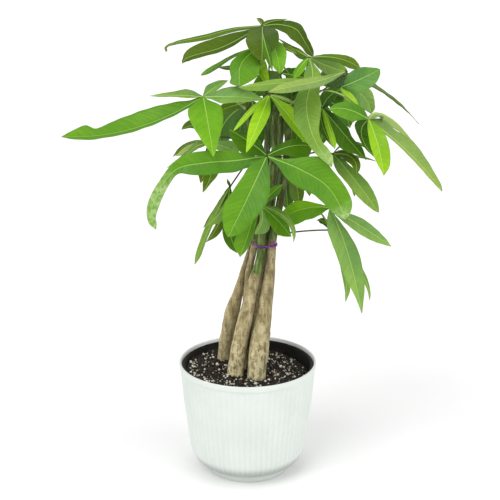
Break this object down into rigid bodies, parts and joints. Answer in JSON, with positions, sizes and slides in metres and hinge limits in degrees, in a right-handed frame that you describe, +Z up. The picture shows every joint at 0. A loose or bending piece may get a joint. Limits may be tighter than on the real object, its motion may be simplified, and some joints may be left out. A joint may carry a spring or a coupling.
{
  "type": "potted money tree",
  "caption": "Potted money tree: upright stems tied together, hand-shaped green fronds above, in a black nursery pot inside a white fluted cover pot.",
  "frame": {"origin": "centre of the cover pot's flat foot, where it stands", "axes": "+Z up along the pot's axis; -Y towards the viewer of the picture, +X to that viewer's right"},
  "size_m": [0.4198, 0.289, 0.5484],
  "materials": {
    "cover_plastic": "white moulded plastic, satin",
    "nursery_plastic": "black grower-pot plastic",
    "potting_soil": "dark moist peat mix with white perlite crumbs",
    "bark": "tan to olive-grey bark below, smooth green stem above",
    "tie_plastic": "thin purple plastic tape",
    "leaf_green": "smooth leathery leaf, semi-gloss, paler midrib and veins",
    "leaf_young": "young yellow-green leaf, semi-gloss",
    "leaf_dark": "mature olive-green leaf seen from below"
  },
  "bodies": {
    "root": {"cover_pot": "cover_plastic", "nursery_pot": "nursery_plastic", "soil": "potting_soil", "trunk_left": "bark", "trunk_front": "bark", "trunk_right": "bark", "trunk_back": "bark", "trunk_inner": "bark", "tie": "tie_plastic", "frond_crown": "leaf_dark", "frond_under_crown": "leaf_green", "frond_upper_right": "leaf_green", "frond_across": "leaf_green", "frond_shoulder": "leaf_green", "frond_far_right": "leaf_young", "frond_left": "leaf_green", "frond_young": "leaf_young", "frond_front": "leaf_green", "frond_low_right": "leaf_green", "frond_low_right_back": "leaf_green", "frond_mid_right": "leaf_green", "frond_right_inner": "leaf_green", "frond_low_left": "leaf_green", "frond_low_front": "leaf_green", "frond_mid_left": "leaf_green", "frond_far_back": "leaf_green", "frond_back_top": "leaf_green", "frond_back_left": "leaf_green", "frond_back_middle": "leaf_green", "frond_back_right": "leaf_green", "frond_back_low": "leaf_green"}
  },
  "joints": []
}
